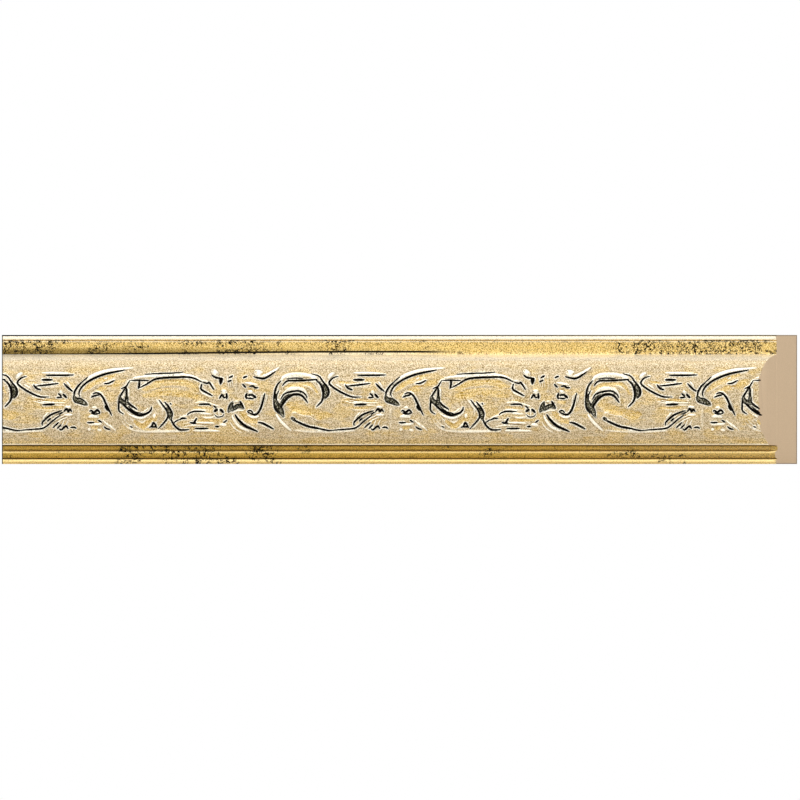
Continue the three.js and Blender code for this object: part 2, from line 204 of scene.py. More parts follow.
LEFT_SPRAY = [
    ridge(8, 0.45, (45.6, -11.4), (56, -8.2), (70, -5.6)),
    ridge(1.3, 0.8, (57.6, 9), (60.2, 8.8)),
    ridge(1.2, 0.9, (56.4, 4.6), (58.4, 2.8), (62.6, 0.9)),
    ridge(1.1, 0.8, (62.2, 7.8), (64.6, 4.6)),
    ridge(1.3, 1, (54, -1.5), (58.4, -1.2), (62.4, -2.2), (66.4, -3.4)),
    ridge(1.3, 1, (65.7, -4.2), (65.8, -7.6)),
    ridge(1.5, 0.9, (56, -6.6), (59.4, -6.7), (63.4, -7)),
    ridge(1.4, 0.8, (56.4, -7.4), (60, -8.6), (64.6, -8)),
    ridge(1.2, 0.6, (45.6, -9.8), (49.4, -7.8), (53.4, -7)),
    ridge(1.5, 0.9, (55.4, -11), (60, -11), (63.8, -11.2)),
    ridge(1.9, 0.8, (66, -11.8), (69.4, -12.2)),
    ridge(1.6, 0.9, (53.4, -14.8), (60, -14.7), (66.4, -14.9)),
    *veins(3, (0.4, -1.3), 0.9, 0.65, (47, -10.6), (52, -9.7), (62, -9.6)),
    dish(1.5, 0.5, (53.5, -3.6), (58, -3.8), (63, -4.6)),
    dish(1.5, 0.5, (54, -9.4), (60, -9.8), (68, -9.6)),
    groove(1, 0.95, (58, 8.2), (60.2, 7.6), (61.2, 7.9), (63.4, 4.6)),
    groove(1.05, 1, (57.6, 7.5), (57.3, 5), (58.8, 3.9), (62.9, 1.6)),
    groove(1, 0.95, (56.2, -2.4), (60.6, -2.2), (62, -3)),
    groove(0.9, 0.8, (63.3, -3), (64.6, -4.1)),
    groove(1.35, 1.3, (63.5, -5.7), (65.1, -4.7)),
    groove(1.35, 1.3, (66.3, -4.5), (67.9, -6.2)),
    groove(0.6, 0.6, (68.2, -6.9), (67.2, -8), (65, -8.2), (63.6, -7)),
    groove(0.95, 0.9, (50.7, -7.3), (52.2, -6.2), (54.6, -5.6), (59.4, -5.8)),
    groove(0.75, 0.7, (44.2, -11.3), (45.8, -10), (47, -9.5)),
    groove(1, 0.95, (47.1, -9.6), (48.4, -8.9), (50.4, -8.9)),
    groove(1.1, 1, (52.2, -10.9), (53.6, -11.2), (55, -11.2)),
    groove(1.1, 1, (53.8, -11), (54.6, -10), (55.2, -8.8)),
    groove(1, 0.95, (54.3, -13.7), (60.7, -13.7)),
    groove(1.1, 1, (64.1, -12.8), (65.8, -12.8)),
    groove(0.9, 0.9, (67.9, -11), (69.6, -9.8)),
]

RISING_CALYX = [
    ridge(3.6, 1.45, (62.8, 13.6), (65, 11.8)),
    ridge(2.4, 0.4, (73.8, 12), (73.8, 3)),
    ridge(2.9, 1.3, (67, 3.8), (69.2, 3.6)),
    ridge(2.5, 1.3, (79.4, 3.8), (81.8, 3.6)),
    ridge(1.8, 1.1, (77.8, 8), (80.6, 7.6), (84, 7)),
    ridge(4.2, 1.5, (83, 13), (86.4, 11.8)),
    ridge(2.4, 1.4, (84, 11.2), (88.2, 11.6), (91.6, 13.4), (94.4, 15.4)),
    ridge(1.5, 0.9, (78.6, -7), (81.6, -8.6), (85, -7.8)),
    ridge(0.9, 0.8, (86, 2.4), (85.2, -1.6)),
    ridge(0.9, 0.8, (88.7, 2.6), (87.8, -1.6)),
    *veins(3, (1.1, -0.6), 0.9, 0.4, (69.4, 12), (70.6, 5.4)),
    dish(2.2, 0.4, (79, -1), (82.2, -1.2)),
    dish(2.6, 0.4, (79.6, 5.2), (83.8, 4.4)),
    groove(1.05, 1.2, (65.9, 0.4), (67.2, 2.2), (68.1, 0.9), (69.2, 1.2)),
    groove(1.15, 1.3, (69.4, 2.9), (69.5, 0.3)),
    groove(1.15, 1.2, (79, 3), (78.5, 1.4), (79, 0.3)),
    groove(1.05, 1.1, (79.3, 2), (81, 2.2), (82.2, 2.2)),
    groove(1.38, 1.3, (81.8, 2), (83.2, 0.8)),
    groove(0.85, 0.8, (79.2, 0.6), (82.2, 0.4)),
    groove(1.1, 1.1, (62.4, 11.6), (64.2, 10.4), (67.6, 9.9)),
    groove(1.35, 1.2, (66.3, 10.2), (66.6, 7.2)),
    groove(1, 1, (67.5, 9.9), (66.8, 7.6)),
    groove(1.05, 0.9, (70.6, 10.3), (72.4, 11.2)),
    groove(1.05, 0.9, (70, 8.4), (71.7, 9.1)),
    groove(1.05, 0.9, (77.2, 10.2), (79.1, 11.1)),
    groove(1.1, 1, (77, 7.2), (78.5, 5.7)),
    groove(1.05, 1, (80.1, 6.1), (81.8, 6.4), (82.9, 5.6), (84.4, 5.6)),
    groove(1.1, 1.1, (82, 10.8), (86.2, 9.9), (88.6, 10.6), (92.6, 13.3)),
    groove(1.2, 1.2, (87.5, 3), (86.6, -0.6), (85.6, -3.9), (84.2, -6.4),
           (82.6, -7.2), (80.4, -6.5), (79.1, -5.6)),
    groove(0.8, 0.7, (79.2, -5.4), (80.7, -5.2), (81.9, -6.3)),
]

LOW_LEAF = [
    ridge(7.4, 0.5, (70.6, -4), (76, -8.6), (84, -12.2), (98, -14)),
    ridge(2.2, 1, (71.8, -6.8), (72.9, -9.6), (75.8, -13), (80.4, -15.2)),
    *veins(2, (-1.3, -1), 0.9, 0.4, (72, -9), (74.4, -12.6), (78.4, -15)),
    ridge(1.3, 0.9, (74.4, -7), (76.4, -9.9), (79.4, -12), (84, -13.9)),
    ridge(1.1, 0.8, (71.4, -6.8), (74.4, -5.2), (77.6, -5.4)),
    ridge(1.3, 1, (73, -0.9), (75, -0.9)),
    ridge(1.4, 0.7, (83.6, -11.9), (87, -12.7), (92.4, -14.9)),
    dish(3.6, 0.7, (76, -5.8), (79.6, -8.8), (84.4, -11)),
    groove(1.4, 1.3, (73.3, -7), (75, -9.6), (78.4, -12.6), (84.2, -15.2)),
    groove(2.3, 1.8, (70.1, -6.2), (71.2, -3.6), (72.3, -0.9)),
    groove(2.3, 1.8, (70, -5.8), (73, -4.1), (75.2, -3), (77.7, -4.5)),
    groove(1.35, 1.3, (75.7, -0.8), (76.6, -2.6), (77.5, -4.3)),
    groove(1.2, 1, (84.1, -10.8), (86.5, -11.3), (91.7, -14)),
]

RIGHT_SCROLL = [
    ridge(6.6, 0.55, (95.6, -8.4), (94.2, 2), (99.8, 8.2), (108.6, 7.6),
          (114.4, 0.8), (109.6, -6.6)),
    ridge(3.6, 1.45, (94, 7.6), (97, 10.8), (102, 11.7), (108, 11.3), (112.6, 9.6)),
    ridge(1.2, 1, (93.2, 3), (94.2, 7), (97, 9.4)),
    ridge(1, 0.9, (113, 9.4), (115.4, 6.8)),
    ridge(2.6, 1, (95.4, 2.4), (98.4, 4.8), (102, 5.4), (105.6, 4.7), (108, 1.6)),
    ridge(2.3, 1.2, (92.6, -6.8), (95, -10.2), (97.4, -12.6), (100.2, -15)),
    ridge(2, 0.45, (98, -14), (106, -15), (118, -15.3), (131.4, -14.8)),
    ridge(2, 0.4, (99.4, -8), (101.4, -6.2), (105.4, -6.3), (110, -9.6)),
    *veins(3, (1.1, 0.5), 0.9, 0.3, (99, -9), (101.6, -7), (106, -7.6), (112, -11)),
    *veins(3, (-0.4, 1.1), 0.9, 0.55, (97.4, 5.4), (102, 6.9), (108, 6.2), (111.6, 2)),
    dish(2.6, 0.55, (96.6, 5.8), (102, 7.7), (109, 7.2), (112.6, 3)),
    dish(5, 0.6, (97.8, -2), (103, -4.2), (110, -6.6)),
    dish(5, 0.45, (108, -5), (113, -7.4), (118, -7)),
    groove(1.1, 1.2, (95.2, 9), (93.3, 6.7), (92.3, 3.8), (91.9, -0.6), (92.3, -4.4), (94, -6.7)),
    groove(1.35, 1.3, (92.3, 3.4), (92.1, -1.2)),
    groove(0.6, 0.6, (94.4, 4.6), (93.2, 2.2), (93.1, -0.4)),
    groove(3.4, 1.9, (92.1, 0.8), (93.2, -2.8), (95, -5.2), (96.4, -8.6)),
    groove(1.5, 1.7, (94.2, -3.8), (95.6, -1.2), (97.6, 1.4), (100, 2.6)),
    groove(1.1, 1.2, (95.6, 6.4), (98, 8.7), (102.6, 8.9), (108.8, 9.2), (112.2, 9.6)),
    groove(0.6, 0.6, (97.6, 9.7), (101, 10.1), (105.8, 10)),
    groove(1.15, 1.2, (111.2, 9.7), (114, 6.8), (115, 3), (114.5, -0.6), (111.8, -3.6)),
    groove(0.9, 0.9, (109.4, 12.2), (113, 11), (115, 8.4), (117.4, 5.4),
           (117.8, 2.6), (116.2, 0.4)),
    groove(2.9, 1.8, (115.2, 7.2), (116.4, 4), (115.6, 0.6)),
    groove(0.95, 1.1, (94.9, 0), (96.6, 2.5), (99.4, 3.6), (103.8, 4), (106.4, 2.6), (107.6, 0.6)),
    groove(1.35, 1.4, (94.9, -4.4), (96.4, -1.6), (98.6, 1), (101.4, 2.4),
           (105, 1.8), (107.8, -1.6)),
    ridge(1.9, 1.2, (93.8, 0.2), (93.9, -1.8)),
    groove(1.25, 1.3, (100.2, -9.2), (103, -10.6), (107.6, -12.6), (113, -13.9)),
    groove(1.8, 1.2, (100, -8.6), (101.8, -9.8)),
    groove(0.95, 0.9, (109, -12.6), (116.4, -14.5), (120, -14.6)),
    groove(0.9, 0.9, (119, -14.6), (124, -14.2), (129.4, -13.7), (131.8, -12.5),
           (134.5, -10.2), (138.2, -7.2)),
]

RIGHT_SPRAY = [
    ridge(8, 0.45, (118.6, 8), (130, 6.4), (146, 5)),
    ridge(2.6, 1.3, (117.3, 9.9), (118.6, 11.6), (120.4, 12.6)),
    ridge(1.9, 1.2, (129.2, 12.6), (133, 12.6), (139, 12.5), (143, 12.3)),
    ridge(1.2, 0.7, (120.4, 7.6), (125, 4.8)),
    ridge(1.3, 0.65, (127.6, 5.5), (134, 5.8), (141, 6.6)),
    ridge(1.3, 0.8, (141, 8.6), (143.2, 6)),
    ridge(1.3, 0.85, (128.2, -1.5), (132, -1.3), (136.4, -1.5)),
    ridge(1.2, 0.8, (129.6, -9), (132.6, -6)),
    ridge(1.2, 0.8, (132.6, -9.4), (136.4, -6), (139.4, -4.6)),
    *veins(4, (0.9, -0.9), 0.9, 0.7, (130.6, -10.4), (136, -6.8), (141.4, -4.8)),
    *veins(3, (0.4, -1.1), 0.9, 0.65, (124, 1.6), (132, -0.2), (141.4, -0.6)),
    dish(1.5, 0.5, (125, 0), (132, -0.1), (140, -0.6)),
    dish(1.7, 0.5, (127, -3.7), (133, -4), (139, -3.2)),
    dish(1.5, 0.4, (122, 8.6), (127, 7.8)),
    groove(1.1, 1, (122.4, 11), (119.8, 10.2), (117.9, 8.1), (119.2, 6.2),
           (123.6, 3.4), (128.6, 1.3), (133, 1.2)),
    groove(1, 0.95, (131.2, 11.4), (138, 11.4), (144.8, 11.6)),
    groove(1.35, 1.1, (129.4, 9.3), (134.5, 9.3)),
    groove(1.1, 1, (125.5, 7), (126.9, 5.3), (129, 4.5)),
    groove(1, 0.95, (126.8, 6.4), (131, 6.8), (137.4, 7.6)),
    groove(1.15, 1.05, (129.8, -2.5), (135.5, -2.3)),
    groove(1.1, 1.1, (129.7, -12.4), (129.6, -11), (131, -9.4), (133.6, -7.3),
           (136.4, -6.1), (139, -5.2)),
    groove(0.8, 0.8, (132, -10.4), (133.6, -8.8)),
    groove(0.9, 0.8, (134.6, -13.4), (137.4, -10.8)),
    groove(0.9, 0.8, (136.6, -13.8), (138.6, -11.8)),
    groove(1.1, 1, (139.9, 7.6), (142, 5.4), (144, 3.8)),
    groove(0.8, 0.7, (136.4, 0.8), (139, 1)),
]

ORNAMENT = (
    HOOK_LEAF + ARCH_LEAF + DROOPING_CALYX + LEFT_SCROLL + STEM
    + LEFT_SPRAY + RISING_CALYX + LOW_LEAF + RIGHT_SCROLL + RIGHT_SPRAY
)


def length(name, description, value):
    """A slider for one size in millimetres of the real strip."""
    return bpy.props.FloatProperty(name=name, description=f"{description}, mm", default=value)


def foil_colour(name, description, value):
    """A slider for one colour of the finish."""
    return bpy.props.FloatVectorProperty(
        name=name, description=description, subtype="COLOR", size=3, min=0, max=1, default=value)


class MouldingSizes(bpy.types.PropertyGroup):
    """Sizes of the strip's section and ornament."""

    rim_depth: length("Rim depth", "Thickness of the plain rims", 10.0)
    crown_depth: length("Crown depth", "Thickness at the plain crown's top", 18.2)
    crown_step: length("Crown step", "Step at the crown's lower edge", 3.6)
    top_rim: length("Top rim", "Height of the rim above the crown", 9.2)
    bottom_rim: length("Bottom rim", "Height of the rim below the crown", 9.0)
    repeat_length: length("Repeat", "Length of one repeat of the scroll", 147.4)
    lead_in: length("Lead-in", "Square end to the first whole repeat", 36.9)
    band_half_height: length("Band", "Half height of the dense ornament band", 16.6)
    fine_step: length("Fine step", "Spacing of the modelled relief", 0.21)
    face_limit: bpy.props.IntProperty(
        name="Face limit", description="Triangles kept on the carved band", default=160000)


class MouldingFinish(bpy.types.PropertyGroup):
    """Colours of the finish."""

    champagne: foil_colour("Champagne", "Foil on the crown", (0.45, 0.33, 0.16))
    # Pale cream: rubbed foil, pale streaks, and the painted highlights on ridges, lips and the
    # crown's edges
    pale_cream: foil_colour("Burnished", "Rubbed foil on the high edges", (1.0, 0.95, 0.8))
    glint: foil_colour("Glint", "Grains of bright foil on the crown", (0.8, 0.68, 0.49))
    # Ochre: painted shade in the shallow hollows, and ochre clouds on the crown
    ochre: foil_colour("Ochre", "Foil in shallow hollows", (0.54, 0.33, 0.045))
    gold: foil_colour("Gold", "Foil on the rims", (0.68, 0.43, 0.09))
    # Dull gold: the lower rim's duller foil, and painted shade on the crown's foot and in the top
    # rim's hollow
    dull_gold: foil_colour("Dull gold", "Foil in the lower rim's hollows", (0.33, 0.205, 0.03))
    # Bright gold: grains of bright foil, and the painted highlights on the lower rim's beads
    bright_gold: foil_colour("Bright gold", "Rubbed foil on the lower rim", (1.0, 0.78, 0.36))
    # Dark patina with painted shade in the cuts, quirks and under the crown's step, and dark crack
    # lines
    patina_and_shade: foil_colour("Patina", "Dark wash in cuts and cracks", (0.004, 0.003, 0.001))
    # Olive: dull wash with painted shade on the deep pockets' floor
    olive: foil_colour("Olive", "Dull wash in the deep pockets", (0.1, 0.092, 0.042))
    core: foil_colour("Core", "Bare foamed plastic", (0.53, 0.39, 0.25))


# The section. The crown's curves are given as shares of the way to its edge
UPPER_CURVE = {"bulge": 0.73, "shoulder": 0.62}
LOWER_CURVE = {"bulge": 0.85, "shoulder": 0.02}
SHOULDER_PLACE = 0.88
CROWN_DIVISIONS = 48
ROWS_ABOVE_BAND = 13
ROWS_BELOW_BAND = 11

# The rounded lip along the crown's lower edge and the step wall under it, in millimetres:
# height from that edge, with the depth from the lip's face and from the rim's face
LIP_ROUNDING = 0.35
CROWN_LIP = ((0.12, -0.25), (0, -0.6))
STEP_WALL = ((-0.1, 0.6), (-0.15, -0.3))

# Where the hollows beside the crown start and end, in from the strip's edge and the crown's
TOP_HOLLOW_INSET = 2.9
TOP_HOLLOW_JOIN = 0.1
LOWER_HOLLOW_INSET = 6.35
LOWER_HOLLOW_JOIN = 0.5
HOLLOW_ROWS = 9

# The top edge's small square arris, as (distance in from the edge, depth under the rim)
TOP_ARRIS = ((0.44, 0.4), (0.02, 0.4), (0, 0.8))


class Bead(NamedTuple):
    """A small moulding along a rim, in millimetres; a negative rise makes it a quirk."""

    inset: float
    half_height: float
    sunk: float
    rise: float
    rows: int


TOP_BEAD = Bead(inset=1.4, half_height=0.9, sunk=0.35, rise=0.35, rows=9)
TOP_QUIRK = Bead(inset=2.55, half_height=0.25, sunk=0.05, rise=-0.45, rows=5)
LOWER_BEAD = Bead(inset=4.525, half_height=1.72, sunk=0.2, rise=0.65, rows=13)
LOWER_QUIRK = Bead(inset=2.5, half_height=0.22, sunk=0.25, rise=-0.45, rows=5)
BOTTOM_BEAD = Bead(inset=1.1, half_height=1.1, sunk=0.3, rise=0.3, rows=9)


def bezier(start, near_start, near_end, end, divisions):
    """Points of a cubic curve, both ends included."""
    t = np.linspace(0, 1, divisions + 1)[:, None]
    a, b, c, d = (np.array(p, dtype=float) for p in (start, near_start, near_end, end))
    return (1 - t) ** 3 * a + 3 * (1 - t) ** 2 * t * b + 3 * (1 - t) * t ** 2 * c + t ** 3 * d


def crown_half(sizes, edge_height, edge_depth, curve):
    """The crown's section from the middle to one edge, as (height, depth)."""
    rise = sizes.crown_depth - sizes.rim_depth
    return bezier(
        (0, sizes.crown_depth),
        (edge_height * curve["bulge"], sizes.crown_depth),
        (edge_height * SHOULDER_PLACE, edge_depth + rise * curve["shoulder"]),
        (edge_height, edge_depth),
        CROWN_DIVISIONS,
    )


def crown_section(sizes):
    """The crown's section from its top edge to its bottom edge, as (height, depth)."""
    top = TOP_EDGE - sizes.top_rim
    bottom = BOTTOM_EDGE + sizes.bottom_rim
    upper = crown_half(sizes, top, sizes.rim_depth, UPPER_CURVE)
    lower = crown_half(sizes, bottom, sizes.rim_depth + sizes.crown_step, LOWER_CURVE)
    return np.vstack([upper[::-1], lower[1:]])


def crown_depth(crown, height):
    """Depth of the plain crown at a height."""
    return np.interp(-height, -crown[:, 0], crown[:, 1])


def crown_rows(crown, start, end, count):
    """Rows over the plain crown after a starting height, as far as another."""
    heights = np.linspace(start, end, count + 1)[1:]
    return [(height, crown_depth(crown, height)) for height in heights]


def arc_rows(height, depth, half_height, rise, count):
    """Rows over a half ellipse, from its upper to its lower edge."""
    turn = np.linspace(0, math.pi, count)
    return [(height + half_height * math.cos(a), depth + rise * math.sin(a)) for a in turn]


def bead_rows(middle, rim_depth, bead):
    """Rows over a rim's bead or quirk, from its upper to its lower edge."""
    return arc_rows(middle, rim_depth - bead.sunk, bead.half_height, bead.rise, bead.rows)


def hollow_rows(upper, lower, depth, sink):
    """Rows over a shallow hollow between two heights."""
    return arc_rows((upper + lower) / 2, depth, (upper - lower) / 2, -sink, HOLLOW_ROWS)


def rows_above(sizes):
    """Plain rows from the ornament band up to the strip's top edge, as (height, depth)."""
    crown = crown_section(sizes)
    crown_top = crown[0, 0]
    rim = sizes.rim_depth
    rows = crown_rows(crown, sizes.band_half_height, crown_top, ROWS_ABOVE_BAND)
    rows += hollow_rows(
        TOP_EDGE - TOP_HOLLOW_INSET, crown_top + TOP_HOLLOW_JOIN, rim - 0.1, 0.25)[::-1]
    for bead in (TOP_QUIRK, TOP_BEAD):
        rows += bead_rows(TOP_EDGE - bead.inset, rim, bead)[::-1]
    return rows + [(TOP_EDGE - inset, rim - under) for inset, under in TOP_ARRIS]


def rows_below(sizes):
    """Plain rows from the ornament band down to the strip's bottom edge."""
    crown = crown_section(sizes)
    crown_bottom, lip = crown[-1]
    rim = sizes.rim_depth
    rows = crown_rows(
        crown, -sizes.band_half_height, crown_bottom + LIP_ROUNDING, ROWS_BELOW_BAND)
    rows += [(crown_bottom + up, lip + out) for up, out in CROWN_LIP]
    rows += [(crown_bottom + up, rim + out) for up, out in STEP_WALL]
    rows += hollow_rows(
        crown_bottom - LOWER_HOLLOW_JOIN, BOTTOM_EDGE + LOWER_HOLLOW_INSET, rim - 0.35, 0.45)
    for bead in (LOWER_BEAD, LOWER_QUIRK, BOTTOM_BEAD):
        rows += bead_rows(BOTTOM_EDGE + bead.inset, rim, bead)
    return rows


# Spare length at both ends, trimmed off when the strip is closed
END_WASTE = 2.0

# The strokes, in millimetres. A fuller taper keeps a stroke's width nearer to its ends
PATH_SPACING = 0.14
SPOT_DIVISIONS = 24
FINE_CUT_TAPER = 0.28
LEAF_TAPER = 0.45
POCKET_TAPER = 0.65
NARROWEST_SHARE = 0.12

# Cuts wider than a pocket's width have a floor of dull wash with painted shade inside their dark
# outline
POCKET_WIDTH = 1.4
POCKET_OUTLINE = 0.7
POCKET_FADE = 0.2

# How sharply each kind of stroke rises from its edge: less than 1 is steep there
RIDGE_STEEPNESS = 0.8
DISH_STEEPNESS = 1.2
CUT_STEEPNESS = 0.9
OCHRE_STEEPNESS = 0.7

# The surface wavers a little, and edges that stand above their surroundings are burnished and
# carry a painted highlight
UNEVENNESS = 0.03
UNEVEN_REACH = 0.8
EDGE_FADE = 1.5
EDGE_REACH = 1.3
BURNISH_AND_HIGHLIGHT_RISE = 0.36

# The raised lip beside each cut, with a painted highlight on it, and the speckled foil around it
LIP_REACH = 0.6
LIP_SHARE = 4.5
LIP_RISE = 0.7
SPECKLE_REACH = 1.3
SPECKLE_SHARE = 2.2


def stroke_path(spots):
    """A smooth curve through the spots, as evenly spaced points and their share of the way."""
    p = np.array(spots, dtype=float)
    p = np.vstack([2 * p[0] - p[1], p, 2 * p[-1] - p[-2]])
    pieces = []
    for k in range(1, len(p) - 2):
        t = np.linspace(0, 1, SPOT_DIVISIONS)[:, None]
        a, b, c, d = p[k - 1], p[k], p[k + 1], p[k + 2]
        pieces.append(0.5 * (2 * b + (c - a) * t + (2 * a - 5 * b + 4 * c - d) * t ** 2
                             + (3 * b - a - 3 * c + d) * t ** 3))
    line = np.vstack(pieces)
    run = np.concatenate([[0], np.cumsum(np.hypot(*np.diff(line, axis=0).T))])
    even = np.linspace(0, run[-1], max(4, int(run[-1] / PATH_SPACING)))
    points = np.stack([np.interp(even, run, line[:, 0]), np.interp(even, run, line[:, 1])], 1)
    return points, even / run[-1]


def stroke_weight(stroke, x, z):
    """How far grid spots lie under the stroke, 1 on its line and 0 at its edge, and how full
    the stroke is there."""
    points, share = stroke_path(stroke["spots"])
    if stroke["kind"] != "groove":
        taper = LEAF_TAPER
    elif stroke["width"] > POCKET_WIDTH:
        taper = POCKET_TAPER
    else:
        taper = FINE_CUT_TAPER
    fullness = np.maximum(np.sin(math.pi * share), 0) ** taper
    half = 0.5 * stroke["width"] * np.maximum(fullness, NARROWEST_SHARE)
    reach = (x[:, None] - points[:, 0]) ** 2 + (z[:, None] - points[:, 1]) ** 2
    nearest = np.argmin(np.sqrt(reach) / half, axis=1)
    across = np.sqrt(reach[np.arange(len(x)), nearest]) / half[nearest]
    inside = np.clip(1 - across ** 2, 0, 1)
    return inside, fullness[nearest]


def softened(field, reach):
    """The field averaged over a reach of grid steps both ways, by a triangular weight."""
    weights = 1 - np.abs(np.arange(-reach, reach + 1)) / (reach + 1)
    weights /= weights.sum()
    total = np.zeros_like(field)
    for shift, weight in zip(range(-reach, reach + 1), weights):
        total += weight * np.roll(field, shift, axis=1)
    padded = np.pad(total, ((reach, reach), (0, 0)), mode="edge")
    result = np.zeros_like(field)
    for k, weight in enumerate(weights):
        result += weight * padded[k:k + len(field)]
    return result


def near_stroke(stroke, x, z):
    """Which grid spots lie in the box around a stroke."""
    spots = np.array(stroke["spots"])
    margin = stroke["width"] * 0.6 + 1
    low, high = spots.min(axis=0) - margin, spots.max(axis=0) + margin
    return (x > low[0]) & (x < high[0]) & (z > low[1]) & (z < high[1])


def relief_tile(sizes, columns, heights):
    """Relief and finish over one repeat, one row for each height."""
    along = np.arange(columns) * sizes.repeat_length / columns
    grid_x, grid_z = np.meshgrid(along, heights)
    raised, cut, cut_depth, ochre, pocket = (np.zeros_like(grid_x) for _ in range(5))
    for stroke in ORNAMENT:
        for shift in (-sizes.repeat_length, 0, sizes.repeat_length):
            x = grid_x - shift
            near = near_stroke(stroke, x, grid_z)
            if not near.any():
                continue
            inside, fullness = stroke_weight(stroke, x[near], grid_z[near])
            rise = stroke["rise"] * fullness
            if stroke["kind"] == "ridge":
                raised[near] = np.maximum(raised[near], rise * inside ** RIDGE_STEEPNESS)
            elif stroke["kind"] == "dish":
                raised[near] -= rise * inside ** DISH_STEEPNESS
                ochre[near] = np.maximum(ochre[near], inside ** OCHRE_STEEPNESS)
            else:
                weight = inside ** CUT_STEEPNESS
                cut_depth[near] = np.where(weight > cut[near], rise, cut_depth[near])
                cut[near] = np.maximum(cut[near], weight)
                if stroke["width"] > POCKET_WIDTH:
                    pocket[near] = np.maximum(pocket[near], inside)
    step = sizes.repeat_length / columns
    noise = np.random.default_rng(4).uniform(-1, 1, grid_x.shape)
    wobble = softened(noise, round(UNEVEN_REACH / step))
    wobble *= UNEVENNESS / wobble.std()
    wobble *= np.clip((sizes.band_half_height - np.abs(grid_z)) / EDGE_FADE, 0, 1)
    lip = (1 - cut) * softened(cut, round(LIP_REACH / step))
    lift = raised - softened(raised, round(EDGE_REACH / step))
    speckle = SPECKLE_SHARE * softened(cut, round(SPECKLE_REACH / step))
    return {
        "relief": raised * (1 - cut) - cut_depth * cut + wobble + LIP_RISE * lip,
        # Patina with painted shade in the cuts
        "patina_and_shade": cut,
        # Painted ochre shade in the dishes
        "ochre": ochre,
        # Dull floor with painted shade in the deep pockets
        "pocket": np.clip((pocket - POCKET_OUTLINE) / POCKET_FADE, 0, 1),
        "speckle": np.clip(speckle, 0, 1),
        # Pale rubbed foil on the high edges, with painted highlights there and along each cut's
        # lip
        "burnish_and_highlight": np.clip(lift * (1 - cut) / BURNISH_AND_HIGHLIGHT_RISE + LIP_SHARE * lip, 0, 1),
    }


class Relief:
    """The ornament band as a fine grid of depths with its finish."""

    def __init__(self, sizes):
        columns = round(sizes.repeat_length / sizes.fine_step)
        self.step = sizes.repeat_length / columns
        band = sizes.band_half_height
        self.heights = np.linspace(band, -band, round(2 * band / self.step) + 1)
        self.start = SQUARE_END - END_WASTE
        self.count = int((MITRE_END + END_WASTE - self.start) / self.step) + 1
        self.x = self.start + self.step * np.arange(self.count)
        first = SQUARE_END + sizes.lead_in
        place = np.round((self.x - first) / self.step).astype(int) % columns
        tile = relief_tile(sizes, columns, self.heights)
        self.fields = {name: values[:, place] for name, values in tile.items()}
        plain = crown_depth(crown_section(sizes), self.heights)
        self.depths = plain[:, None] + self.fields["relief"]

    def look_up(self, name, x, z):
        """A field's value at spots on the ornament band, between its grid values."""
        rise = self.heights[0] - self.heights[1]
        u = np.clip((x - self.start) / self.step, 0, self.count - 1.001)
        v = np.clip((self.heights[0] - z) / rise, 0, len(self.heights) - 1.001)
        i, j = u.astype(int), v.astype(int)
        u, v = u - i, v - j
        part = self.fields[name]
        upper = part[j, i] * (1 - u) + part[j, i + 1] * u
        lower = part[j + 1, i] * (1 - u) + part[j + 1, i + 1] * u
        return upper * (1 - v) + lower * v


def carved_front(relief):
    """The ornament band as a grid bent to the crown and the relief."""
    rows, columns = relief.depths.shape
    bm = bmesh.new()
    bmesh.ops.create_grid(bm, x_segments=columns - 1, y_segments=rows - 1, size=0.5)
    mesh = bpy.data.meshes.new("carved_front")
    bm.to_mesh(mesh)
    bm.free()
    flat = np.empty(len(mesh.vertices) * 3)
    mesh.vertices.foreach_get("co", flat)
    flat = flat.reshape(-1, 3)
    i = np.rint((flat[:, 0] + 0.5) * (columns - 1)).astype(int)
    j = np.rint((0.5 - flat[:, 1]) * (rows - 1)).astype(int)
    bent = np.stack([relief.x[i], -relief.depths[j, i], relief.heights[j]], 1) * MM
    mesh.vertices.foreach_set("co", bent.ravel())
    mesh.update()
    return mesh


def thinned(mesh, face_limit):
    """The mesh with its flat stretches in fewer faces, by a Decimate modifier."""
    holder = bpy.data.objects.new("carved_front", mesh)
    bpy.context.scene.collection.objects.link(holder)
    modifier = holder.modifiers.new("Thin flat stretches", "DECIMATE")
    modifier.ratio = min(1.0, face_limit / (2 * len(mesh.polygons)))
    bpy.context.view_layer.update()
    graph = bpy.context.evaluated_depsgraph_get()
    result = bpy.data.meshes.new_from_object(holder.evaluated_get(graph))
    bpy.data.objects.remove(holder)
    bpy.data.meshes.remove(mesh)
    return result


def draw_out(bm, edge_height, rows):
    """Adds the plain rows beyond one edge of the carved band, by extruding that edge."""
    edges = []
    for edge in bm.edges:
        first, second = (vert.co / MM for vert in edge.verts)
        lengthwise = abs(first.x - second.x) > abs(first.z - second.z)
        if edge.is_boundary and lengthwise and abs(first.z - edge_height) < EDGE_FADE:
            edges.append(edge)
    for height, depth in rows:
        made = bmesh.ops.extrude_edge_only(bm, edges=edges)["geom"]
        verts = {item for item in made if isinstance(item, bmesh.types.BMVert)}
        for vert in verts:
            vert.co.y = -depth * MM
            vert.co.z = height * MM
        edges = [item for item in made if isinstance(item, bmesh.types.BMEdge)
                 and verts.issuperset(item.verts)]


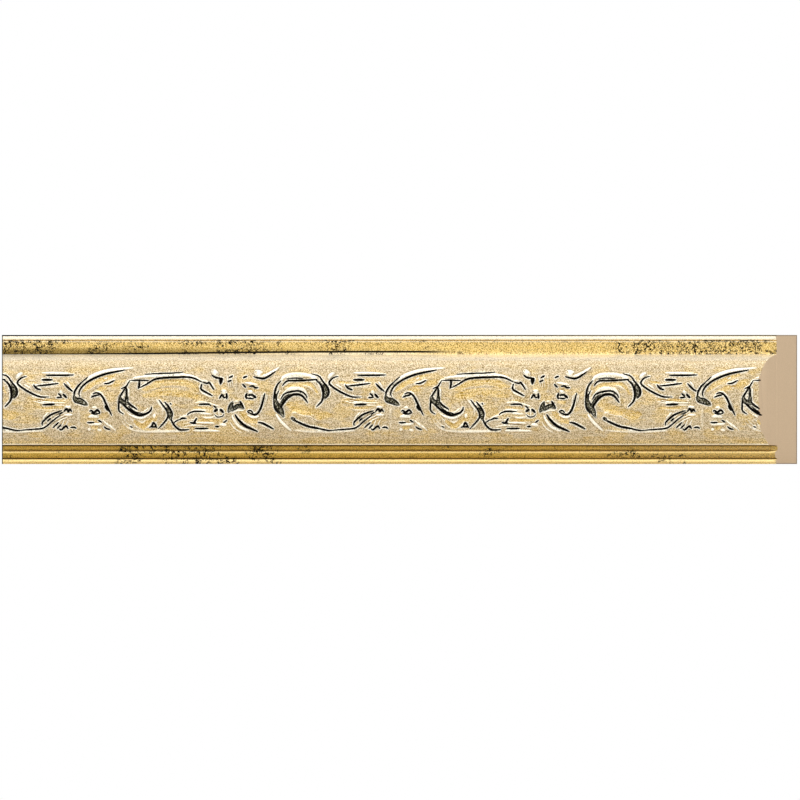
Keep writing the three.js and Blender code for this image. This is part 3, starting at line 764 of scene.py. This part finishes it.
def closed_strip(front, sizes):
    """The front closed by a flat back, cut square on the left and mitred on the right."""
    bm = bmesh.new()
    bm.from_mesh(front)
    bpy.data.meshes.remove(front)
    draw_out(bm, sizes.band_half_height, rows_above(sizes))
    draw_out(bm, -sizes.band_half_height, rows_below(sizes))
    rim = [edge for edge in bm.edges if edge.is_boundary]
    made = bmesh.ops.extrude_edge_only(bm, edges=rim)
    for item in made["geom"]:
        if isinstance(item, bmesh.types.BMVert):
            item.co.y = 0
    back = [edge for edge in bm.edges if edge.is_boundary]
    bmesh.ops.holes_fill(bm, edges=back, sides=0)
    cuts = (
        (Vector((SQUARE_END * MM, 0, 0)), Vector((-1, 0, 0))),
        (Vector((MITRE_END * MM, 0, 0)), Vector((1, -1, 0)).normalized()),
    )
    for place, outward in cuts:
        geometry = bm.verts[:] + bm.edges[:] + bm.faces[:]
        made = bmesh.ops.bisect_plane(
            bm, geom=geometry, dist=1e-7, plane_co=place, plane_no=outward, clear_outer=True)
        edges = [item for item in made["geom_cut"] if isinstance(item, bmesh.types.BMEdge)]
        bmesh.ops.holes_fill(bm, edges=edges, sides=0)
    large = [face for face in bm.faces if len(face.verts) > 4]
    bmesh.ops.triangulate(bm, faces=large, ngon_method="EAR_CLIP")
    bmesh.ops.recalc_face_normals(bm, faces=bm.faces[:])
    return bm


# Materials
class Nodes:
    """Short calls for building a node tree."""

    def __init__(self, name):
        self.material = bpy.data.materials.new(name)
        self.material.use_nodes = True
        self.tree = self.material.node_tree
        self.tree.nodes.clear()
        self.shader = self.add("BsdfPrincipled")
        self.add("OutputMaterial", Surface=self.shader.outputs[0])
        self.place = self.add("TexCoord").outputs["Object"]

    def link(self, source, target):
        """Joins a socket to an input, or sets the input to a number or a tuple."""
        if isinstance(source, bpy.types.NodeSocket):
            self.tree.links.new(source, target)
        else:
            target.default_value = source

    def add(self, kind, **inputs):
        """A new node, with inputs joined or set by name."""
        node = self.tree.nodes.new("ShaderNode" + kind)
        for name, value in inputs.items():
            self.link(value, node.inputs[name])
        return node

    def surface(self, name, value):
        """Joins or sets one input of the surface's shader."""
        self.link(value, self.shader.inputs[name])

    def math(self, operation, *values, clamp=False):
        node = self.add("Math")
        node.operation = operation
        node.use_clamp = clamp
        for value, target in zip(values, node.inputs):
            self.link(value, target)
        return node.outputs[0]

    def product(self, first, second):
        return self.math("MULTIPLY", first, second)

    def distance(self, value, centre):
        return self.math("ABSOLUTE", self.math("SUBTRACT", value, centre))

    def strongest(self, *masks):
        """The largest of several masks at each spot."""
        total = masks[0]
        for mask in masks[1:]:
            total = self.math("MAXIMUM", total, mask)
        return total

    def ramp(self, value, low, high, start=0.0, end=1.0):
        """A smooth step of value from low to high."""
        node = self.add("MapRange")
        node.interpolation_type = "SMOOTHSTEP"
        for source, target in zip((value, low, high, start, end), node.inputs):
            self.link(source, target)
        return node.outputs[0]

    def mix(self, factor, first, second):
        """A blend of two colours, all of the second where the factor is 1."""
        node = self.add("Mix", Factor=factor)
        node.data_type = "RGBA"
        for value, target in ((first, node.inputs[6]), (second, node.inputs[7])):
            self.link((*value, 1.0) if isinstance(value, tuple) else value, target)
        return node.outputs[2]

    def stretched(self, scale):
        """Object coordinates in millimetres times a scale along each axis."""
        per_metre = [s / MM for s in scale]
        return self.add("Mapping", Vector=self.place, Scale=per_metre).outputs[0]

    def noise(self, scale, detail, roughness=0.55):
        place = self.stretched(scale)
        return self.add(
            "TexNoise", Vector=place, Scale=1, Detail=detail, Roughness=roughness).outputs["Fac"]

    def cracks(self, scale, width, wander):
        """Thin crack lines: 1 on the line and 0 away from it."""
        place = self.stretched(scale)
        bend = self.add("TexNoise", Vector=place, Scale=1.7, Detail=3)
        move = self.add("VectorMath")
        move.operation = "MULTIPLY_ADD"
        for value, target in zip((bend.outputs["Color"], (wander,) * 3, place), move.inputs):
            self.link(value, target)
        cells = self.add("TexVoronoi", Vector=move.outputs[0], Scale=1)
        cells.feature = "DISTANCE_TO_EDGE"
        return self.ramp(cells.outputs["Distance"], width, width * 0.3)

    def squiggles(self, scale, width):
        """Short curly hairlines: level lines of one noise, broken up by another."""
        level = self.distance(self.noise(scale, detail=1), 0.5)
        gaps = self.noise([0.7 * s for s in scale], detail=1)
        return self.product(self.ramp(level, width, width * 0.5), self.ramp(gaps, 0.5, 0.53))

    def attribute(self, name):
        node = self.add("Attribute")
        node.attribute_name = name
        return node.outputs["Fac"]

    def axis(self, name):
        """One Object coordinate in millimetres."""
        split = self.add("SeparateXYZ", Vector=self.place)
        return self.math("DIVIDE", split.outputs[name], MM)

    def bump(self, height, distance, strength):
        """A normal that follows a height, with the distance in millimetres."""
        return self.add(
            "Bump", Height=height, Distance=distance * MM, Strength=strength).outputs[0]


def scaled(colour, share):
    """A colour made darker."""
    return tuple(share * part for part in colour)


def foil(n, colour, glint, pale_wear_and_highlight, dirt_and_shade, wear_and_highlight, grime, foils):
    """Grained foil: pale where it is worn and where a highlight is painted, dull and dark where it
    is dirty and where shade is painted.
    """
    grain = n.noise((2.5, 2.5, 2.5), detail=1, roughness=0.6)
    colour = n.mix(n.ramp(grain, 0.47, 0.59, 0, 0.8), colour, glint)
    colour = n.mix(n.ramp(grain, 0.46, 0.38, 0, grime), colour, scaled(foils.gold, 0.12))
    colour = n.mix(n.product(wear_and_highlight, n.ramp(grain, 0.36, 0.46, 0.55, 1)), colour, pale_wear_and_highlight)
    colour = n.mix(dirt_and_shade, colour, foils.patina_and_shade)
    n.surface("Metallic", n.ramp(dirt_and_shade, 0, 1, 0.8, 0))
    rough = n.ramp(grain, 0.25, 0.8, 0.3, 0.48)
    n.surface("Roughness", n.strongest(rough, n.product(dirt_and_shade, 0.9)))
    n.surface("Specular IOR Level", 0.12)
    n.surface("Normal", n.bump(grain, 0.2, 0.6))
    return colour


def end_line(n):
    """A dark line on the last half millimetre at the square end."""
    return n.ramp(n.axis("X"), SQUARE_END + 0.55, SQUARE_END + 0.4, 0, 0.85)


def champagne_gilt(foils):
    """Champagne foil on the crown, painted ochre shade in the hollows, dark patina with painted
    shade in the cuts and painted highlights on the high edges.
    """
    n = Nodes("champagne_gilt")
    z = n.axis("Z")
    cloud = n.noise((0.1, 0.1, 0.2), detail=4)
    blot = n.noise((0.7, 0.7, 0.7), detail=4)
    streak = n.noise((0.12, 1.6, 1.6), detail=3)
    fleck = n.noise((1.7, 1.7, 1.7), detail=1)

    # Painted ochre shade in the hollows, ochre clouds, pale streaks, painted shade on the upper
    # flank and a darker foot painted as shade
    ochre = n.product(n.attribute("ochre"), n.ramp(blot, 0.4, 0.6, 0.8, 2.4))
    patches = n.product(n.ramp(cloud, 0.47, 0.6, 0, 0.6), n.ramp(z, 17, 14, 0.2, 1))
    tint = n.math("ADD", ochre, patches, clamp=True)
    colour = n.mix(tint, foils.champagne, foils.ochre)
    colour = n.mix(n.ramp(streak, 0.42, 0.66, 0, 0.22), colour, foils.pale_cream)
    painted_flank_shade = n.ramp(n.distance(z, 16.4), 4.5, 2, 0, 0.35)
    colour = n.mix(painted_flank_shade, colour, scaled(foils.champagne, 0.6))
    colour = n.mix(n.ramp(z, -18.2, -20.8, 0, 0.5), colour, foils.dull_gold)

    # Patina with painted shade in the cuts, and flecks around them
    speckle = n.attribute("speckle")
    black_fleck = n.product(n.ramp(fleck, 0.45, 0.4), speckle)
    white_fleck = n.product(n.ramp(fleck, 0.53, 0.57), speckle)
    cut = n.ramp(n.attribute("patina_and_shade"), 0.1, 0.35)
    dirt_and_shade = n.strongest(cut, black_fleck, end_line(n))

    # Foil rubbed pale on the high edges, with painted highlights there, beside each cut and along
    # both edges of the crown
    wear_and_highlight = n.strongest(
        n.ramp(n.attribute("burnish_and_highlight"), 0.12, 0.55),
        white_fleck,
        n.ramp(z, -20.8, -21.1, 0, 0.95),
        n.ramp(z, 17.8, 20.5, 0, 0.7),
    )
    warm = n.strongest(n.ramp(z, -17.5, -20.5, 0, 0.7), n.product(tint, 0.55))
    glint = n.mix(warm, foils.glint, foils.bright_gold)
    colour = foil(n, colour, glint, foils.pale_cream, dirt_and_shade, wear_and_highlight, 0.65, foils)

    # The deep pockets' speckled floor: dull olive wash with painted shade
    floor = n.mix(n.ramp(fleck, 0.54, 0.6, 0, 0.6), foils.olive, foils.pale_cream)
    floor = n.mix(n.ramp(fleck, 0.48, 0.42, 0, 0.9), floor, foils.patina_and_shade)
    n.surface("Base Color", n.mix(n.attribute("pocket"), colour, floor))
    return n.material


def cracked_gold(foils):
    """Deeper gold foil on the rims, crazed with dark cracks, with painted shade along its quirks
    and hollows and painted highlights along its beads.
    """
    n = Nodes("cracked_gold")
    x, z = n.axis("X"), n.axis("Z")
    top_rim = n.ramp(z, -1, 1)
    bottom_rim = n.ramp(z, 1, -1)

    def band(height, half, soft, amount):
        """A soft-edged stripe along the strip, placed and sized in millimetres."""
        return n.product(n.ramp(n.distance(z, height), half + soft, half - soft), amount)

    def fading(start, end, amount, far_amount):
        """An amount that changes between two places along the strip, in millimetres."""
        return n.ramp(x, start, end, amount, far_amount)

    # Gold above, duller below, partly as painted shade under the crown's step, paler towards the
    # mitre, and painted shade in the top rim's hollow at the left
    cloud = n.noise((0.16, 0.3, 0.5), detail=4)
    upper = n.mix(n.ramp(cloud, 0.3, 0.65, 0.6, 1), foils.champagne, foils.gold)
    lower = n.mix(n.ramp(cloud, 0.3, 0.65, 0, 0.4), foils.dull_gold, foils.gold)
    lower = n.mix(fading(60, 160, 0, 0.6), lower, foils.champagne)
    colour = n.mix(bottom_rim, upper, lower)
    painted_cove_shade = n.product(n.ramp(z, 25.4, 22.6), fading(-200, 60, 0.9, 0))
    painted_cove_shade = n.product(painted_cove_shade, top_rim)
    colour = n.mix(painted_cove_shade, colour, foils.dull_gold)
    # Colours of the painted highlights: cream on the top rim, bright gold on the bottom rim, gold
    # in the painted shade
    cream = tuple(0.8 * a + 0.2 * b for a, b in zip(foils.pale_cream, foils.bright_gold))
    pale_wear_and_highlight = n.mix(bottom_rim, cream, foils.bright_gold)
    pale_wear_and_highlight = n.mix(painted_cove_shade, pale_wear_and_highlight, foils.gold)

    # The join with the crown wanders up from the square end to the middle
    join = n.math("SUBTRACT", z, fading(-190, -20, 21.2, 22.6))
    join_line = n.ramp(n.math("ABSOLUTE", join), 0.55, 0.35)
    crown_side_highlight = n.product(n.ramp(join, -0.2, -0.5), top_rim)
    front_arris = n.ramp(n.axis("Y"), -8.4, -8.9)
    # Painted shade and dark lines: along the top edge's front arris, in the top rim's hollow at
    # the left, along the join, painted shadow under the crown's step, painted shade in the lower
    # quirk, and at the square end
    shade = n.strongest(
        n.product(front_arris, band(TOP_EDGE, 0.66, 0.05, fading(-60, 110, 1, 0.8))),
        n.product(painted_cove_shade, 0.5),
        n.product(join_line, fading(10, 32, 1, 0)),
        band(-21.8, 0.2, 0.12, fading(-60, 110, 0.97, 0.6)),
        band(-27.9, 0.2, 0.1, fading(-60, 110, 0.97, 0.6)),
        end_line(n),
    )
    # Painted highlights along the top bead, the top rim's band, the lower bead, the bottom bead
    # and edge, and on the crown's side of the join
    wear_and_highlight = n.strongest(
        band(29.1, 0.9, 0.2, 0.95),
        band(27.5, 0.3, 0.3, 0.55),
        band(-24.7, 0.5, 0.35, 0.8),
        band(-28.8, 0.7, 0.1, 0.97),
        band(-30.2, 0.5, 0.2, 0.8),
        n.product(crown_side_highlight, fading(-20, 30, 0.7, 0.1)),
    )

    # Crazing, denser at both ends of the top rim and left of the middle of the bottom rim
    above = n.strongest(
        fading(-150, -180, 0, 0.7), fading(-60, 20, 0.32, 0), fading(95, 125, 0, 0.7))
    below = n.ramp(n.distance(x, -97), 60, 25, 0, 0.6)
    crazed = n.mix(bottom_rim, above, below)
    patch = n.math("ADD", n.noise((0.06, 0.09, 0.09), detail=3), n.product(crazed, 0.3))
    patch = n.product(patch, n.ramp(z, 28.4, 28))
    curls = n.product(n.squiggles((0.85, 0.7, 0.85), 0.09), n.ramp(patch, 0.57, 0.63))
    splits = n.product(n.cracks((0.16, 0.16, 0.16), 0.03, 0.9), n.ramp(patch, 0.6, 0.66))
    specks = n.noise((1.5, 1.2, 1.2), detail=1)
    specks = n.product(n.ramp(specks, 0.37, 0.34), n.ramp(patch, 0.55, 0.75, 0, 0.85))
    dirt_and_shade = n.strongest(shade, curls, splits, specks)

    # Bright grains on the rims, turned dull in the painted shade at the top rim's left
    glint = n.mix(bottom_rim, foils.bright_gold, foils.gold)
    glint = n.mix(n.product(painted_cove_shade, 0.8), glint, foils.dull_gold)
    colour = foil(n, colour, glint, pale_wear_and_highlight, dirt_and_shade, wear_and_highlight, 0.85, foils)
    n.surface("Base Color", colour)
    return n.material


def bare_core(foils):
    """Beige foamed plastic on the back and the cut ends."""
    n = Nodes("bare_core")
    pores = n.noise((3, 3, 3), detail=3)
    colour = n.mix(n.ramp(pores, 0.35, 0.65), scaled(foils.core, 0.86), foils.core)
    edge = n.distance(n.axis("Z"), (TOP_EDGE + BOTTOM_EDGE) / 2)
    half = (TOP_EDGE - BOTTOM_EDGE) / 2
    skin = n.strongest(n.ramp(n.axis("Y"), -0.5, -0.35), n.ramp(edge, half - 0.5, half - 0.35))
    n.surface("Base Color", n.mix(skin, colour, scaled(foils.core, 0.45)))
    n.surface("Roughness", 0.78)
    n.surface("Normal", n.bump(pores, 0.06, 0.5))
    return n.material


FINISH_FIELDS = ("patina_and_shade", "pocket", "ochre", "burnish_and_highlight", "speckle")
CROWN_FACE, RIM_FACE, CORE_FACE = range(3)
ON_PLANE = 0.01
SHARP_ANGLE = math.radians(48)


def finish_faces(mesh, sizes, relief, finish):
    """Gives each face its material and smoothness, and each vertex its finish fields."""
    foils = SimpleNamespace(
        **{name: tuple(getattr(finish, name)) for name in finish.__annotations__})
    for material in (champagne_gilt(foils), cracked_gold(foils), bare_core(foils)):
        mesh.materials.append(material)
    centre = np.empty(len(mesh.polygons) * 3)
    mesh.polygons.foreach_get("center", centre)
    centre = centre.reshape(-1, 3) / MM
    crown_top = TOP_EDGE - sizes.top_rim
    crown_bottom = BOTTOM_EDGE + sizes.bottom_rim
    on_rim = (centre[:, 2] > crown_top) | (centre[:, 2] < crown_bottom)
    on_back = centre[:, 1] > -ON_PLANE
    on_square = np.abs(centre[:, 0] - SQUARE_END) < ON_PLANE
    on_mitre = np.abs(centre[:, 0] - centre[:, 1] - MITRE_END) < ON_PLANE
    on_core = on_back | on_square | on_mitre
    index = np.where(on_core, CORE_FACE, np.where(on_rim, RIM_FACE, CROWN_FACE))
    mesh.polygons.foreach_set("material_index", index.astype(np.int32))
    place = np.empty(len(mesh.vertices) * 3)
    mesh.vertices.foreach_get("co", place)
    place = place.reshape(-1, 3) / MM
    in_band = (np.abs(place[:, 2]) < sizes.band_half_height) & (place[:, 1] < -sizes.rim_depth)
    for name in FINISH_FIELDS:
        values = np.where(in_band, relief.look_up(name, place[:, 0], place[:, 2]), 0.0)
        layer = mesh.attributes.new(name, "FLOAT", "POINT")
        layer.data.foreach_set("value", values.astype(np.float32))
    mesh.shade_smooth()
    mesh.polygons.foreach_set("use_smooth", index != CORE_FACE)
    mesh.set_sharp_from_angle(angle=SHARP_ANGLE)


class MOULDING_OT_strip(bpy.types.Operator):
    """Builds the moulding strip with its carved front"""

    bl_idname = "moulding.strip"
    bl_label = "Build Moulding Strip"

    def execute(self, context):
        sizes = context.scene.moulding_sizes
        relief = Relief(sizes)
        front = thinned(carved_front(relief), sizes.face_limit)
        bm = closed_strip(front, sizes)
        mesh = bpy.data.meshes.new("moulding_strip")
        bm.to_mesh(mesh)
        bm.free()
        finish_faces(mesh, sizes, relief, context.scene.moulding_finish)
        strip = bpy.data.objects.new("moulding_strip", mesh)
        context.scene.collection.objects.link(strip)
        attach(strip, "root")
        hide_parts("moulding")
        return {"FINISHED"}


# The stage, in metres. The room's brightness rises from before the strip to behind it
FLOOR_HALF_SIZE = 3
FLOOR_COLOUR = (0.9, 0.89, 0.87, 1)
CAMERA_DISTANCE = 0.8
ROOM_FRONT, ROOM_BACK = 0.2, 0.75
FRONT_BRIGHTNESS, BACK_BRIGHTNESS = 0.72, 1.0


def area_light(name, place, size, size_y, power):
    """A soft rectangular light turned to the middle of the strip."""
    light = bpy.data.lights.new(name, "AREA")
    light.shape = "RECTANGLE"
    light.size = size
    light.size_y = size_y
    light.energy = power
    lamp = bpy.data.objects.new(name, light)
    lamp.location = place
    lamp.rotation_euler = (-Vector(place)).to_track_quat("-Z", "Y").to_euler()
    bpy.context.scene.collection.objects.link(lamp)


def studio_world(scene):
    """A white room behind the strip, and a dimmer one in front that the foil reflects."""
    world = bpy.data.worlds.new("studio")
    scene.world = world
    world.use_nodes = True
    tree = world.node_tree
    tree.nodes.clear()
    output = tree.nodes.new("ShaderNodeOutputWorld")
    background = tree.nodes.new("ShaderNodeBackground")
    place = tree.nodes.new("ShaderNodeTexCoord")
    split = tree.nodes.new("ShaderNodeSeparateXYZ")
    ramp = tree.nodes.new("ShaderNodeMapRange")
    ramp.interpolation_type = "SMOOTHSTEP"
    settings = (ROOM_FRONT, ROOM_BACK, FRONT_BRIGHTNESS, BACK_BRIGHTNESS)
    for value, target in zip(settings, ramp.inputs[1:5]):
        target.default_value = value
    tree.links.new(place.outputs["Generated"], split.inputs[0])
    tree.links.new(split.outputs["Y"], ramp.inputs[0])
    tree.links.new(ramp.outputs[0], background.inputs["Color"])
    tree.links.new(background.outputs[0], output.inputs[0])


def pale_floor(scene):
    """A plain floor level with the strip's lower edge."""
    bm = bmesh.new()
    bmesh.ops.create_grid(bm, x_segments=1, y_segments=1, size=FLOOR_HALF_SIZE)
    bmesh.ops.translate(bm, vec=(0, 0, BOTTOM_EDGE * MM), verts=bm.verts[:])
    mesh = bpy.data.meshes.new("floor")
    bm.to_mesh(mesh)
    bm.free()
    floor = bpy.data.objects.new("floor", mesh)
    scene.collection.objects.link(floor)
    paint = bpy.data.materials.new("pale_floor")
    paint.use_nodes = True
    shader = paint.node_tree.nodes["Principled BSDF"]
    shader.inputs["Base Color"].default_value = FLOOR_COLOUR
    shader.inputs["Roughness"].default_value = 0.9
    mesh.materials.append(paint)


def front_camera(scene):
    """A camera straight in front, framing the strip as the photograph does."""
    pixel = (TOP_EDGE - BOTTOM_EDGE) * MM / STRIP_PIXELS
    camera = bpy.data.cameras.new("camera")
    camera.type = "ORTHO"
    camera.ortho_scale = PICTURE_PIXELS * pixel
    eye = bpy.data.objects.new("camera", camera)
    offset = HALF_PIXEL_OFF_CENTRE * pixel
    eye.location = (offset, -CAMERA_DISTANCE, -offset)
    eye.rotation_euler = (math.radians(90), 0, 0)
    scene.collection.objects.link(eye)
    scene.camera = eye


class MOULDING_OT_stage(bpy.types.Operator):
    """Builds the floor, the lights and the camera"""

    bl_idname = "moulding.stage"
    bl_label = "Build Stage"

    def execute(self, context):
        scene = context.scene
        scene.view_settings.view_transform = "Standard"
        studio_world(scene)
        pale_floor(scene)
        area_light("top_softbox", (0, -0.25, 0.75), 1.6, 0.35, 4.4)
        area_light("front_fill", (-0.2, -1.8, 0.9), 3.0, 1.4, 14)
        front_camera(scene)
        return {"FINISHED"}


class MOULDING_PT_panel(bpy.types.Panel):
    """Lists the builders in the sidebar"""

    bl_idname = "MOULDING_PT_panel"
    bl_label = "Gilded Moulding"
    bl_space_type = "VIEW_3D"
    bl_region_type = "UI"
    bl_category = "Moulding"

    def draw(self, context):
        for operator in OPERATORS:
            self.layout.operator(operator.bl_idname)
        for group in (context.scene.moulding_sizes, context.scene.moulding_finish):
            for name in group.__annotations__:
                self.layout.prop(group, name)


OPERATORS = (MOULDING_OT_strip, MOULDING_OT_stage)
CLASSES = (MouldingSizes, MouldingFinish, *OPERATORS, MOULDING_PT_panel)


def register():
    for item in CLASSES:
        bpy.utils.register_class(item)
    bpy.types.Scene.moulding_sizes = bpy.props.PointerProperty(type=MouldingSizes)
    bpy.types.Scene.moulding_finish = bpy.props.PointerProperty(type=MouldingFinish)


def unregister():
    del bpy.types.Scene.moulding_finish
    del bpy.types.Scene.moulding_sizes
    for item in reversed(CLASSES):
        bpy.utils.unregister_class(item)


def main():
    register()
    bpy.ops.moulding.strip()
    bpy.ops.moulding.stage()


if __name__ == "__main__":
    main()
